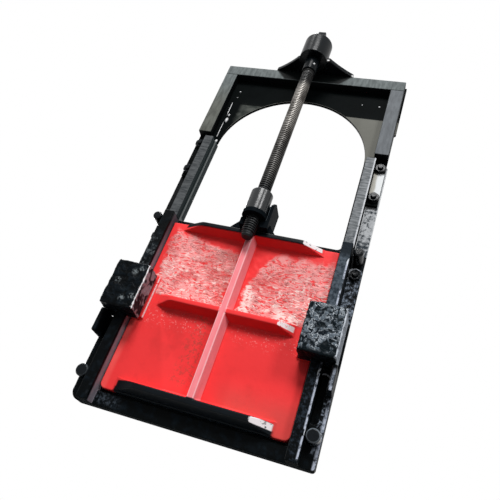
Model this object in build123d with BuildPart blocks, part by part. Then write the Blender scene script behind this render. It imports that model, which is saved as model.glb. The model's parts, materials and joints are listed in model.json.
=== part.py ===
from build123d import *
import os

# Sluice gate in its upright working position.
# +Z runs up along the stem, the water side faces -Y, the back face lies on the wall at Y = 0,
# and Z = 0 is the bottom edge of the frame. All sizes are in millimetres.

# Waterway and the leaf that covers it
waterway_width = 350.0
waterway_height = 350.0
waterway_corner_radius = 30.0
leaf_side_lap = 28.0
leaf_foot_lap = 42.0
leaf_head_lap = 33.0
leaf_thickness = 16.5
leaf_corner_radius = 12.0
pad_width = 29.0
pad_height = 105.0
pad_rise = 8.0
rib_depth = 27.0
rib_face = 11.0
rib_draft = 8.5
rib_flat = 244.0
rib_corner_radius = 24.0
top_rib_taper = 48.0
middle_rib_taper = 36.0
bottom_rib_taper = 48.0
bottom_rib_rise = 10.0
centre_rib_face = 14.0

# Lower casting
sill_height = 30.0
casting_head = 18.0
casting_back = 10.0
rim_depth = 28.0
rim_wall = 14.0
left_corner_radius = 20.0
right_corner_radius = 7.0
seat_depth = 20.0
guide_thickness = 24.0
guide_depth = 60.0
pocket_lap = 2.0
pocket_land = 12.0

# Rails that carry the guides above the casting
rail_height = 272.0
rail_flange = 7.0
rail_bar_depth = 40.0
rail_ledge = 5.0
window_corner_radius = 10.0

# Yoke: arch plate, posts, beam and stem bracket
arch_thickness = 8.0
arch_inset = 6.0
arch_drop = 7.0
arch_leg_end = 22.0
arch_shoulder = 4.0
arch_shoulder_rise = 94.0
post_width = 35.0
post_length = 236.0
post_inset = 3.0
post_foot_gap = 17.0
bar_depth = 22.0
bar_chamfer = 1.0
beam_height = 35.0
bracket_thickness = 12.0
bracket_width = 222.0
bracket_sag = 2.5
bracket_nose = 6.0
hub_wall = 22.7
hub_drop = 8.0
hub_rise = 53.0
hub_fillet = 6.0

# Stem, its thrust collar and its nut
stem_diameter = 32.0
stem_tail = 35.0
stem_point = 4.0
square_size = 22.0
square_length = 43.0
square_chamfer = 2.0
collar_wall = 4.0
collar_height = 48.0
collar_chamfer = 1.5
nut_wall = 10.2
nut_height = 59.0
nut_chamfer = 2.0
nut_flange_lip = 2.0
nut_flange_height = 12.0

# Lug that holds the nut on the leaf's top edge
lug_toe = 17.0
lug_base_thickness = 20.0
lug_slope = 50.0
lug_setback = 2.0
ear_thickness = 8.0
ear_height = 60.0
ear_chamfer = 15.0
web_width = 20.0
saddle_lip = 2.0

# Wedge blocks on the guides and the cheeks under them
block_height = 110.0
block_drop = 5.0
block_depth = 40.0
block_overhang = 28.0
block_outer_lip = 27.0
block_fillet = 4.0
cheek_height = 54.0
cheek_thickness = 10.0
cheek_depth = 44.0
cheek_chamfer = 2.0

# Bolts on the flanges and studs on the lower casting
bolt_across_flats = 24.0
bolt_margin = 3.0
bolt_head_height = 9.0
bolt_end_diameter = 14.0
bolt_end_length = 6.0
upper_bolt_drop = 15.0
bolt_spacing = 92.0
middle_bolt_drop = 36.0
low_stud_diameter = 28.0
high_stud_diameter = 22.0
stud_reach = 58.0
stud_dome = 5.0
low_stud_height = 55.0
high_stud_drop = 18.0

# Clearances
seal_gap = 0.3
guide_clearance = 3.0
sill_clearance = 5.0
wedge_clearance = 5.0
rib_to_stem = 5.0
lug_clearance = 0.5
stem_clearance = 0.3
side_clearance = 0.5

# Places worked out from the sizes above
SIDES = (("left", -1), ("right", 1))
leaf_width = waterway_width + 2 * leaf_side_lap
leaf_base = sill_height + sill_clearance
waterway_base = leaf_base + leaf_foot_lap
leaf_top = waterway_base + waterway_height + leaf_head_lap
leaf_height = leaf_top - leaf_base
leaf_middle = waterway_base + waterway_height / 2
leaf_back = seat_depth + seal_gap
leaf_front = leaf_back + leaf_thickness
rib_front = leaf_front + rib_depth
bottom_rib_base = leaf_base + bottom_rib_rise
top_rib_base = leaf_top - rib_face
casting_height = leaf_top + casting_head
guide_opening = leaf_width + 2 * guide_clearance
guide_inner = guide_opening / 2
guide_outer = guide_inner + guide_thickness
guide_middle = (guide_inner + guide_outer) / 2
flange_width = bolt_across_flats + 2 * bolt_margin
flange_middle = guide_outer + flange_width / 2
half_frame = guide_outer + flange_width
frame_width = 2 * half_frame
block_base = leaf_middle - block_height / 2 - block_drop
rail_top = casting_height + rail_height
arch_front = rail_flange + arch_thickness
arch_radius = guide_inner - arch_inset
arch_leg_length = upper_bolt_drop + bolt_spacing + arch_leg_end
post_outer = half_frame - post_inset
post_base = rail_top + post_foot_gap
beam_base = post_base + post_length
beam_top = beam_base + beam_height
bar_front = arch_front + bar_depth
leg_inner = guide_outer + side_clearance
leg_middle = (leg_inner + post_outer) / 2
stem_offset = rib_front + rib_to_stem + stem_diameter / 2
bore_diameter = stem_diameter + 2 * stem_clearance
hub_diameter = bore_diameter + 2 * hub_wall
hub_base = beam_top - hub_drop
hub_top = beam_top + bracket_thickness + hub_rise
collar_base = hub_base - stem_clearance - collar_height
lug_top = leaf_top + lug_base_thickness
lug_front = stem_offset - lug_setback
nut_base = lug_top + nut_flange_height
nut_diameter = bore_diameter + 2 * nut_wall
nut_flange_diameter = nut_diameter + 2 * nut_flange_lip
ear_inner = nut_flange_diameter / 2 + lug_clearance
ear_outer = ear_inner + ear_thickness
stem_base = leaf_top - stem_tail
stem_axis = Plane((0, -stem_offset, 0))

os.makedirs("parts", exist_ok=True)


def save(piece, label):
    piece.part.label = label
    export_step(piece.part, f"parts/{label}.step")


def round_foot(sketch):
    fillet(sketch.vertices().group_by(Axis.Y)[0].sort_by(Axis.X)[0], left_corner_radius)
    fillet(sketch.vertices().group_by(Axis.Y)[0].sort_by(Axis.X)[-1], right_corner_radius)


# Lower casting: back plate, pocketed rim, guide walls and the seat round the waterway
with BuildPart() as lower_frame:
    with BuildSketch(Plane.XZ) as outline:
        with Locations((0, casting_height / 2)):
            Rectangle(frame_width, casting_height)
        round_foot(outline)
    extrude(amount=casting_back)
    pocket_width = flange_width - rim_wall + pocket_lap
    pocket_middle = half_frame - rim_wall - pocket_width / 2
    pocket_base = low_stud_height + low_stud_diameter / 2 + pocket_land
    pocket_top = block_base - pocket_land
    with BuildSketch(Plane.XZ) as rim:
        with Locations((0, block_base / 2)):
            Rectangle(frame_width, block_base)
        round_foot(rim)
        with Locations((0, sill_height)):
            Rectangle(guide_opening, block_base, align=(Align.CENTER, Align.MIN), mode=Mode.SUBTRACT)
        with Locations(*[(side * pocket_middle, (pocket_base + pocket_top) / 2) for _, side in SIDES]):
            SlotOverall(pocket_top - pocket_base, pocket_width, rotation=90, mode=Mode.SUBTRACT)
    extrude(amount=rim_depth)
    with BuildSketch(Plane.XZ):
        with Locations(*[(side * guide_middle, casting_height / 2) for _, side in SIDES]):
            Rectangle(guide_thickness, casting_height)
    extrude(amount=guide_depth)
    with BuildSketch(Plane.XZ):
        with Locations((0, (sill_height + casting_height) / 2)):
            Rectangle(guide_opening, casting_height - sill_height)
    extrude(amount=seat_depth)
    with BuildSketch(Plane.XZ):
        with Locations((0, waterway_base + waterway_height / 2)):
            RectangleRounded(waterway_width, waterway_height, waterway_corner_radius)
    extrude(amount=seat_depth, mode=Mode.SUBTRACT)
save(lower_frame, "lower_frame")

# Rails: outer flange, guide bar and seat ledge in one section, rounded into the casting's top edge
for side_name, side in SIDES:
    ledge_inner = guide_inner - rail_ledge
    corner_centre = ledge_inner - window_corner_radius
    with BuildPart() as rail:
        with BuildSketch(Plane.XY.offset(casting_height)):
            with Locations((side * (guide_inner + half_frame) / 2, -rail_flange / 2)):
                Rectangle(half_frame - guide_inner, rail_flange)
            with Locations((side * guide_middle, -rail_bar_depth / 2)):
                Rectangle(guide_thickness, rail_bar_depth)
            with Locations((side * (guide_inner - rail_ledge / 2), -seat_depth / 2)):
                Rectangle(rail_ledge, seat_depth)
        extrude(amount=rail_height)
        with BuildSketch(Plane.XZ):
            with Locations((side * (corner_centre + ledge_inner) / 2, casting_height)):
                Rectangle(window_corner_radius, window_corner_radius, align=(Align.CENTER, Align.MIN))
            with Locations((side * corner_centre, casting_height + window_corner_radius)):
                Circle(window_corner_radius, mode=Mode.SUBTRACT)
        extrude(amount=seat_depth)
    save(rail, f"{side_name}_rail")

# Arch plate: legs lapped on the rail flanges, a half-round cut-out and shouldered outer edges
with BuildPart() as arch_plate:
    shoulder_base = post_base + arch_shoulder_rise
    with BuildSketch(Plane.XZ.offset(rail_flange)):
        with Locations((0, (rail_top + beam_top) / 2)):
            Rectangle(2 * post_outer, beam_top - rail_top)
        with Locations(*[(side * leg_middle, rail_top) for _, side in SIDES]):
            Rectangle(post_outer - leg_inner, arch_leg_length, align=(Align.CENTER, Align.MAX))
        with BuildLine():
            Polyline(
                (-post_outer, shoulder_base - arch_shoulder),
                (-post_outer - arch_shoulder, shoulder_base),
                (-post_outer - arch_shoulder, beam_top),
                (post_outer + arch_shoulder, beam_top),
                (post_outer + arch_shoulder, shoulder_base),
                (post_outer, shoulder_base - arch_shoulder),
                close=True,
            )
        make_face()
        with Locations((0, rail_top - arch_drop)):
            Circle(arch_radius, mode=Mode.SUBTRACT)
    extrude(amount=arch_thickness)
save(arch_plate, "arch_plate")

# Posts and top beam in front of the arch plate
for side_name, side in SIDES:
    with BuildPart() as post:
        with BuildSketch(Plane.XZ.offset(arch_front)):
            with Locations((side * (post_outer - post_width / 2), post_base + post_length / 2)):
                Rectangle(post_width, post_length)
        extrude(amount=bar_depth)
        chamfer(post.faces().sort_by(Axis.Y)[0].edges(), bar_chamfer)
    save(post, f"{side_name}_post")

with BuildPart() as top_beam:
    with BuildSketch(Plane.XZ.offset(arch_front)):
        with Locations((0, beam_base + beam_height / 2)):
            Rectangle(2 * post_outer, beam_height)
    extrude(amount=bar_depth)
    chamfer(top_beam.faces().sort_by(Axis.Y)[0].edges(), bar_chamfer)
save(top_beam, "top_beam")

# Stem bracket: a winged plate on the beam, and the hub that carries the stem
with BuildPart() as stem_bracket:
    nose = hub_diameter / 2 + bracket_nose
    with BuildSketch(Plane.XY.offset(beam_top)):
        with BuildLine():
            Polyline(
                (bracket_width / 2, -bar_front),
                (bracket_width / 2, -rail_flange),
                (-bracket_width / 2, -rail_flange),
                (-bracket_width / 2, -bar_front),
            )
            SagittaArc((-bracket_width / 2, -bar_front), (-nose, -stem_offset), bracket_sag)
            Line((-nose, -stem_offset), (nose, -stem_offset))
            SagittaArc((nose, -stem_offset), (bracket_width / 2, -bar_front), bracket_sag)
        make_face()
    extrude(amount=bracket_thickness)
    with BuildSketch(stem_axis.offset(hub_base)):
        Circle(hub_diameter / 2)
    extrude(amount=hub_top - hub_base)
    fillet(stem_bracket.faces().sort_by(Axis.Z)[-1].edges(), hub_fillet)
    with BuildSketch(stem_axis.offset(hub_base)):
        Circle(bore_diameter / 2)
    extrude(amount=hub_top - hub_base, mode=Mode.SUBTRACT)
save(stem_bracket, "stem_bracket")

# Cross ribs: drafted bars, thick at the plate, their ends tapered back to it
cross_ribs = []
for rib_base, upper_draft, rib_taper in (
    (bottom_rib_base, rib_draft, bottom_rib_taper),
    (leaf_middle - rib_face / 2, rib_draft, middle_rib_taper),
    (top_rib_base, 0, top_rib_taper),
):
    with BuildPart() as cross_rib:
        with BuildSketch(Plane.YZ):
            with BuildLine():
                Polyline(
                    (-leaf_front, rib_base - rib_draft),
                    (-rib_front, rib_base),
                    (-rib_front, rib_base + rib_face),
                    (-leaf_front, rib_base + rib_face + upper_draft),
                    close=True,
                )
            make_face()
        extrude(amount=leaf_width / 2, both=True)
        with BuildSketch(Plane.XY.offset(leaf_base)) as plan:
            with BuildLine():
                Polyline(
                    (-rib_flat / 2 - rib_taper, -leaf_front),
                    (-rib_flat / 2, -rib_front),
                    (rib_flat / 2, -rib_front),
                    (rib_flat / 2 + rib_taper, -leaf_front),
                    close=True,
                )
            make_face()
            fillet(plan.vertices().group_by(Axis.Y)[0], rib_corner_radius)
        extrude(amount=leaf_height, mode=Mode.INTERSECT)
    cross_ribs.append(cross_rib.part)

# Gate leaf: plate, wedge pads, the cross ribs and the upright centre rib
with BuildPart() as gate_leaf:
    with BuildSketch(Plane.XZ.offset(leaf_back)) as plate:
        with Locations((0, leaf_base + leaf_height / 2)):
            Rectangle(leaf_width, leaf_height)
        fillet(plate.vertices().group_by(Axis.Y)[0], leaf_corner_radius)
    extrude(amount=leaf_thickness)
    with BuildSketch(Plane.XZ.offset(leaf_front)):
        with Locations(*[(side * (leaf_width - pad_width) / 2, leaf_middle) for _, side in SIDES]):
            Rectangle(pad_width, pad_height)
    extrude(amount=pad_rise)
    centre_rib_root = centre_rib_face + 2 * rib_draft
    with BuildSketch(Plane.XY.offset(bottom_rib_base)):
        with BuildLine():
            Polyline(
                (-centre_rib_root / 2, -leaf_front),
                (-centre_rib_face / 2, -rib_front),
                (centre_rib_face / 2, -rib_front),
                (centre_rib_root / 2, -leaf_front),
                close=True,
            )
        make_face()
    extrude(amount=leaf_top - bottom_rib_base)
    add(cross_ribs)
save(gate_leaf, "gate_leaf")

# Nut lug: a sloped foot on the leaf's top edge, a saddle under the nut, and an ear with a web on the right
with BuildPart() as nut_lug:
    with BuildSketch(Plane.XZ.offset(leaf_back)):
        with Locations((0, leaf_top + lug_base_thickness / 2)):
            Trapezoid(2 * (ear_outer + lug_toe), lug_base_thickness, lug_slope)
    extrude(amount=rib_front - leaf_back)
    saddle_left = nut_flange_diameter / 2 + saddle_lip
    with BuildSketch(Plane.XZ.offset(rib_front)):
        with Locations(((ear_outer - saddle_left) / 2, leaf_top + lug_base_thickness / 2)):
            Rectangle(ear_outer + saddle_left, lug_base_thickness)
    extrude(amount=lug_front - rib_front)
    with BuildSketch(Plane.YZ.offset(ear_inner)):
        with BuildLine():
            Polyline(
                (-leaf_back, lug_top),
                (-leaf_back, lug_top + ear_height),
                (ear_chamfer - lug_front, lug_top + ear_height),
                (-lug_front, lug_top + ear_height - ear_chamfer),
                (-lug_front, lug_top),
                close=True,
            )
        make_face()
    extrude(amount=ear_thickness)
    web_front = stem_offset - nut_flange_diameter / 2 - lug_clearance
    with BuildSketch(Plane.XZ.offset(leaf_back)):
        with Locations((ear_inner - web_width / 2, lug_top + ear_height / 2)):
            Rectangle(web_width, ear_height)
    extrude(amount=web_front - leaf_back)
    with BuildSketch(stem_axis.offset(leaf_top)):
        Circle(bore_diameter / 2 + lug_clearance)
    extrude(amount=lug_base_thickness, mode=Mode.SUBTRACT)
save(nut_lug, "nut_lug")

# Stem nut and the flange it stands on
with BuildPart() as nut_flange:
    with BuildSketch(stem_axis.offset(lug_top)):
        Circle(nut_flange_diameter / 2)
        Circle(bore_diameter / 2, mode=Mode.SUBTRACT)
    extrude(amount=nut_flange_height)
save(nut_flange, "nut_flange")

with BuildPart() as stem_nut:
    with BuildSketch(stem_axis.offset(nut_base)):
        Circle(nut_diameter / 2)
    extrude(amount=nut_height)
    chamfer(stem_nut.faces().sort_by(Axis.Z)[-1].edges(), nut_chamfer)
    with BuildSketch(stem_axis.offset(nut_base)):
        Circle(bore_diameter / 2)
    extrude(amount=nut_height, mode=Mode.SUBTRACT)
save(stem_nut, "stem_nut")

# Stem with its pointed tail and square drive end, and the thrust collar under the hub
with BuildPart() as stem:
    with BuildSketch(stem_axis.offset(stem_base)):
        Circle(stem_diameter / 2)
    extrude(amount=hub_top - stem_base)
    chamfer(stem.faces().sort_by(Axis.Z)[0].edges(), stem_point)
    with BuildSketch(stem_axis.offset(hub_top)):
        Rectangle(square_size, square_size)
    extrude(amount=square_length)
    chamfer(stem.faces().sort_by(Axis.Z)[-1].edges(), square_chamfer)
save(stem, "stem")

with BuildPart() as stem_collar:
    with BuildSketch(stem_axis.offset(collar_base)):
        Circle(stem_diameter / 2 + collar_wall)
    extrude(amount=collar_height)
    chamfer(stem_collar.edges(), collar_chamfer)
    with BuildSketch(stem_axis.offset(collar_base)):
        Circle(stem_diameter / 2)
    extrude(amount=collar_height, mode=Mode.SUBTRACT)
save(stem_collar, "stem_collar")

# Wedge blocks saddled on the guide walls, their inner lips standing off the leaf's pads
for side_name, side in SIDES:
    block_back = leaf_front + pad_rise + wedge_clearance
    block_inner = guide_inner - block_overhang
    block_outer = guide_outer + block_outer_lip
    inner_lip_middle = (block_inner + guide_inner - side_clearance) / 2
    outer_lip_middle = (leg_inner + block_outer) / 2
    with BuildPart() as block:
        with BuildSketch(Plane.XY.offset(block_base)):
            with Locations((side * (block_inner + block_outer) / 2, -guide_depth)):
                Rectangle(block_outer - block_inner, block_depth, align=(Align.CENTER, Align.MAX))
            with Locations((side * inner_lip_middle, -guide_depth)):
                Rectangle(
                    block_overhang - side_clearance,
                    guide_depth - block_back,
                    align=(Align.CENTER, Align.MIN),
                )
            with Locations((side * outer_lip_middle, -guide_depth)):
                Rectangle(block_outer - leg_inner, guide_depth - rim_depth, align=(Align.CENTER, Align.MIN))
        extrude(amount=block_height)
        fillet(block.faces().sort_by(Axis.Y)[0].edges(), block_fillet)
    save(block, f"{side_name}_wedge_block")

# Cheeks on the rim's outer wall, under the blocks
for side_name, side in SIDES:
    with BuildPart() as cheek:
        with BuildSketch(Plane.XZ.offset(rim_depth)):
            with Locations((side * (half_frame - cheek_thickness / 2), block_base)):
                Rectangle(cheek_thickness, cheek_height, align=(Align.CENTER, Align.MAX))
        extrude(amount=cheek_depth)
        chamfer(cheek.faces().sort_by(Axis.Y)[0].edges(), cheek_chamfer)
    save(cheek, f"{side_name}_block_cheek")

# Hexagon bolts on the arch plate's legs and on the casting's flanges
for side_name, side in SIDES:
    bolt_places = (
        ("upper", leg_middle, rail_top - upper_bolt_drop, arch_front),
        ("lower", leg_middle, rail_top - upper_bolt_drop - bolt_spacing, arch_front),
        ("middle", flange_middle, casting_height - high_stud_drop - middle_bolt_drop, casting_back),
    )
    for bolt_name, bolt_middle, bolt_height, bolt_seat in bolt_places:
        with BuildPart() as bolt:
            with BuildSketch(Plane.XZ.offset(bolt_seat)):
                with Locations((side * bolt_middle, bolt_height)):
                    RegularPolygon(bolt_across_flats / 2, 6, major_radius=False, rotation=30)
            extrude(amount=bolt_head_height)
            with BuildSketch(Plane.XZ.offset(bolt_seat + bolt_head_height)):
                with Locations((side * bolt_middle, bolt_height)):
                    Circle(bolt_end_diameter / 2)
            extrude(amount=bolt_end_length)
        save(bolt, f"{side_name}_{bolt_name}_bolt")

# Domed studs on the rim and on the casting's upper flange
for side_name, side in SIDES:
    stud_places = (
        ("low", low_stud_height, low_stud_diameter, rim_depth),
        ("high", casting_height - high_stud_drop, high_stud_diameter, casting_back),
    )
    for stud_name, stud_height, stud_diameter, stud_seat in stud_places:
        with BuildPart() as stud:
            with BuildSketch(Plane.XZ.offset(stud_seat)):
                with Locations((side * flange_middle, stud_height)):
                    Circle(stud_diameter / 2)
            extrude(amount=stud_reach - stud_seat)
            fillet(stud.faces().sort_by(Axis.Y)[0].edges(), stud_dome)
        save(stud, f"{side_name}_{stud_name}_stud")
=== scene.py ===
"""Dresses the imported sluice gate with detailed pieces, materials, light and the photograph's camera."""
import json
import math
from collections import namedtuple

import bmesh
import bpy
from mathutils import Matrix, Vector, noise


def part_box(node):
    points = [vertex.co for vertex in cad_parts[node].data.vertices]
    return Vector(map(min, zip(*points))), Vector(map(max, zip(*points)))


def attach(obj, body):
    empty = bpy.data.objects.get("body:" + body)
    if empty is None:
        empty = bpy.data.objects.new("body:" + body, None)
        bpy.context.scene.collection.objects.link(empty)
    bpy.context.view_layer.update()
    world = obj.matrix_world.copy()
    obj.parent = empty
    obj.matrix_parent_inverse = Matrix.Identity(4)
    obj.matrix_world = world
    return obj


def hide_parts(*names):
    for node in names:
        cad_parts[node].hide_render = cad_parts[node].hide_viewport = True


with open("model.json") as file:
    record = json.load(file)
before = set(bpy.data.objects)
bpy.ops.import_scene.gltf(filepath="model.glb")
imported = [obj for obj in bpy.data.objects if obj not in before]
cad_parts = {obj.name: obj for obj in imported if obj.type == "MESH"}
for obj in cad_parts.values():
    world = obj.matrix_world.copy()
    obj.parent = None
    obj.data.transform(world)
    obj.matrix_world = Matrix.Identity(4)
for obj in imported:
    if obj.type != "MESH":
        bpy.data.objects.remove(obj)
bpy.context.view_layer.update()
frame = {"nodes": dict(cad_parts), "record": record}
nodes = frame["nodes"]
record = frame["record"]
body_of_node = {n: b for b, members in record["behaviour"]["bodies"].items() for n in members}

# Sizes are in millimetres and the meshes in metres
MM = 0.001
WELD = 1e-5
CUT_TOLERANCE = 1e-6
FLAT_ANGLE = math.radians(0.5)
SHARP_ANGLE = math.radians(30)
SMOOTH_ANGLE = math.radians(38)
SIDES = ("left", "right")


def box_mm(node):
    """A node's lowest and highest corners in millimetres."""
    low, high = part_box(node)
    return low / MM, high / MM


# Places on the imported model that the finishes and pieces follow
casting_low, casting_high = box_mm("lower_frame")
leaf_low, leaf_high = box_mm("gate_leaf")
block_low, block_high = box_mm("right_wedge_block")
rail_low, rail_high = box_mm("right_rail")
post_low, post_high = box_mm("right_post")
beam_low, beam_high = box_mm("top_beam")
bracket_high = box_mm("stem_bracket")[1]
collar_low, collar_high = box_mm("stem_collar")
stem_low, stem_high = box_mm("stem")
arch_front = box_mm("arch_plate")[0].y

# Places inside one node, worked out from its neighbours
GUIDE_CLEARANCE = 3.0
GUIDE_THICKNESS = 24.0
RIB_DEPTH = 27.0
RIB_FACE = 11.0
RIB_DRAFT = 8.5
BOTTOM_RIB_RISE = 10.0
CENTRE_RIB_HALF = 7.0
PAD_WIDTH = 29.0
BLOCK_DROP = 5.0
guide_inner = leaf_high.x + GUIDE_CLEARANCE
guide_outer = guide_inner + GUIDE_THICKNESS
leaf_front = leaf_low.y + RIB_DEPTH
pad_inner = leaf_high.x - PAD_WIDTH
bottom_rib_base = leaf_low.z + BOTTOM_RIB_RISE
middle_rib_base = (block_low.z + block_high.z) / 2 + BLOCK_DROP - RIB_FACE / 2
middle_rib_root = middle_rib_base + RIB_FACE + RIB_DRAFT
top_rib_base = leaf_high.z - RIB_FACE
centre_rib_root = CENTRE_RIB_HALF + RIB_DRAFT


# Shader nodes

def feed(tree, value, socket):
    """Links a node's output to the socket, or writes a plain number, vector or colour on it."""
    if isinstance(value, bpy.types.NodeSocket):
        tree.links.new(value, socket)
    elif isinstance(value, tuple) and len(value) == 3 and len(socket.default_value) == 4:
        socket.default_value = (*value, 1)
    else:
        socket.default_value = value


def add_node(tree, kind, inputs=None, **settings):
    """Adds a shader node with its settings and inputs, and returns its outputs."""
    node = tree.nodes.new(f"ShaderNode{kind}")
    for setting, value in settings.items():
        setattr(node, setting, value)
    for socket, value in (inputs or {}).items():
        feed(tree, value, node.inputs[socket])
    return node.outputs


class Surface:
    """A material's node graph, with short calls for its nodes. Positions are in millimetres."""

    def __init__(self, name, specular):
        self.material = bpy.data.materials.new(name)
        self.material.use_nodes = True
        self.tree = self.material.node_tree
        self.shade("Specular IOR Level", specular)
        coordinates = self.make("TexCoord")
        in_metres = coordinates["Object"]
        self.place = self.make("VectorMath", {0: in_metres, "Scale": 1 / MM}, operation="SCALE")[0]
        self.x, self.y, self.z = self.split(self.place)
        self.facing_x, self.facing_y, self.facing_z = self.split(coordinates["Normal"])

    def make(self, kind, inputs=None, **settings):
        return add_node(self.tree, kind, inputs, **settings)

    def split(self, vector):
        return self.make("SeparateXYZ", {0: vector}).values()

    def shade(self, socket, value):
        """Feeds one input of the material's shader."""
        feed(self.tree, value, self.tree.nodes["Principled BSDF"].inputs[socket])

    def math(self, operation, a, b=0.0):
        return self.make("Math", {0: a, 1: b}, operation=operation)[0]

    def add(self, value, other, share=1.0):
        """The value plus a share of the other one."""
        return self.math("ADD", value, self.math("MULTIPLY", other, share))

    def size(self, value):
        """The value without its sign."""
        return self.math("ABSOLUTE", value)

    def all(self, *masks):
        """Product of the masks, and of plain strengths among them."""
        product = masks[0]
        for mask in masks[1:]:
            product = self.math("MULTIPLY", product, mask)
        return product

    def any(self, *masks):
        """The largest of the masks."""
        largest = masks[0]
        for mask in masks[1:]:
            largest = self.math("MAXIMUM", largest, mask)
        return largest

    def step(self, value, low, high):
        """0 below low and 1 above high, smooth between them; it falls where low is the higher number."""
        span = {"Value": value, "From Min": low, "From Max": high}
        return self.make("MapRange", span, interpolation_type="SMOOTHSTEP")["Result"]

    def past(self, value, edge, soft):
        """1 past the edge, fading over soft on each side of it; 1 before the edge where soft is negative."""
        return self.step(value, edge - soft, edge + soft)

    def band(self, value, low, high, soft=1.5):
        """1 between low and high, fading over soft on each side of both."""
        return self.all(self.past(value, low, soft), self.past(value, high, -soft))

    def ridge(self, value, width):
        """1 where a noise value is near its middle, which draws thin winding lines."""
        away = self.size(self.math("SUBTRACT", value, 0.5))
        return self.step(away, width, width / 3)

    def near(self, point, radius):
        """1 at the point, 0 outside the radius."""
        away = self.make("VectorMath", {0: self.place, 1: point}, operation="DISTANCE")["Value"]
        return self.step(away, radius, radius / 3)

    def disc(self, x, z, radius, soft=0.7):
        """1 inside a circle on the front."""
        right = self.math("SUBTRACT", self.x, x)
        up = self.math("SUBTRACT", self.z, z)
        from_middle = self.make("CombineXYZ", {0: right, 2: up})[0]
        away = self.make("VectorMath", {0: from_middle}, operation="LENGTH")["Value"]
        return self.past(away, radius, -soft)

    def crescent(self, x, z, radius, lean):
        """A disc less another of the same size moved by lean, as light catches a rim."""
        other = self.disc(x + lean[0], z + lean[1], radius)
        return self.all(self.disc(x, z, radius), self.math("SUBTRACT", 1.0, other))

    def right_half(self):
        """1 on the right half of the gate."""
        return self.past(self.x, 0, 10)

    def edge(self):
        """1 on the rounded edges between a front and a face turned to the right."""
        return self.all(self.step(self.facing_x, 0.2, 0.45), self.step(self.facing_y, -0.2, -0.45))

    def dusted(self, colour, grain):
        """The colour with thin grey dust on faces turned back, up or left."""
        back = self.step(self.facing_y, 0.2, 0.6)
        up = self.step(self.facing_z, 0.3, 0.7)
        left = self.step(self.facing_x, -0.3, -0.7)
        dust = self.mix(grain, (0.01, 0.012, 0.013), (0.034, 0.036, 0.037))
        return self.mix(self.any(back, up, left), colour, dust)

    def scale(self, value, low, high):
        """Takes 0..1 to low..high."""
        return self.make("MapRange", {"Value": value, "To Min": low, "To Max": high})["Result"]

    def stretch(self, along):
        """The place with each axis multiplied, so that noise there is drawn out or pressed together."""
        return self.make("VectorMath", {0: self.place, 1: along}, operation="MULTIPLY")[0]

    def noise(self, size, detail=3.0, roughness=0.55, distortion=0.0, along=None):
        """Noise with features of about size millimetres."""
        return self.make("TexNoise", {
            "Vector": self.stretch(along) if along else self.place,
            "Scale": 1 / size,
            "Detail": detail,
            "Roughness": roughness,
            "Distortion": distortion,
        })["Fac"]

    def mix(self, mask, a, b):
        """Colour a where the mask is 0 and b where it is 1."""
        return self.make("Mix", {"Factor": mask, "A": a, "B": b}, data_type="RGBA")["Result"]

    def colour(self, value):
        self.shade("Base Color", value)

    def roughness(self, value):
        self.shade("Roughness", value)

    def bump(self, height, depth, under=None):
        """Bump of the given depth in millimetres; returns the normal so that another one can lie over it."""
        inputs = {"Height": height, "Distance": depth * MM}
        if under:
            inputs["Normal"] = under
        normal = self.make("Bump", inputs)["Normal"]
        self.shade("Normal", normal)
        return normal


# Colours that several materials share

BLACK = (0.0012, 0.0018, 0.0022)
BLUE_BLACK = (0.0045, 0.0075, 0.0105)


# Black coating of the lower casting

RIM_WORN_FROM = 29
CORNER_RIGHT = -150
CORNER_UP = (6, 32)
POCKET_TOP = (237, 171)
LOW_STUD = (245, 55)
FLANGE_BOLT = (243, 427)


def above_blocks(s):
    return s.past(s.z, block_high.z - 1, 5)


def guide_fronts(s, front):
    """1 on the foremost faces of the casting."""
    return s.all(front, s.past(s.y, casting_low.y + 3.5, -1.5))


def flange_dust_and_sheen(s, colour, front, blotch):
    """Grey mottling above the blocks on both flanges, part dust and part painted sheen, brighter and bluer
    on the right; thinner painted sheen on the left guide.
    """
    beside_guide = s.past(s.size(s.x), guide_outer, 2)
    below_head = s.past(s.z, casting_high.z - 40, -8)
    flange = s.all(front, above_blocks(s), beside_guide, below_head)
    grey = s.mix(s.right_half(), (0.12, 0.135, 0.145), (0.21, 0.25, 0.31))
    colour = s.mix(s.all(flange, s.step(blotch, 0.44, 0.66)), colour, grey)
    left_guide = s.all(guide_fronts(s, front), s.band(s.x, -guide_outer - 1, 1 - guide_inner))
    left_guide = s.all(left_guide, s.band(s.z, block_high.z - 2, block_high.z + 98, 18))
    sheen_flecks = s.all(left_guide, s.step(blotch, 0.48, 0.66))
    return s.mix(sheen_flecks, colour, (0.085, 0.098, 0.105))


def right_guide_shade_and_highlights(s, colour, front, blotch):
    """Navy-grey right guide with painted shade near its top, blacker below the block; painted highlights on
    its outer edge and on the rim's corner.
    """
    guide = s.all(guide_fronts(s, front), s.right_half(), s.past(s.x, guide_outer + 0.5, -1.5))
    navy = s.mix(s.step(blotch, 0.35, 0.65), (0.012, 0.019, 0.027), (0.075, 0.095, 0.118))
    # Painted shade near the top of the guide
    shaded = s.mix(s.past(s.z, casting_high.z - 36, 10), navy, (0.006, 0.01, 0.015))
    low = s.mix(s.step(blotch, 0.45, 0.7), BLACK, (0.026, 0.036, 0.05))
    colour = s.mix(guide, colour, s.mix(above_blocks(s), low, shaded))
    # Painted highlights along the guide's outer edge and the rim's corner, broken up by noise
    outer_edge = s.past(s.x, guide_outer - 4.25, 1.25)
    highlight_strip = s.all(guide, outer_edge, s.past(s.z, casting_high.z - 45.5, -7.5))
    rim_corner = s.past(s.x, casting_high.x - 6.25, 1.75)
    rim_edge_highlight = s.all(front, rim_corner, s.past(s.z, block_low.z - 11, -5))
    broken = s.step(s.noise(11, detail=4, roughness=0.6), 0.4, 0.54)
    return s.mix(s.all(s.any(highlight_strip, rim_edge_highlight), broken), colour, (0.43, 0.47, 0.56))


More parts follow.
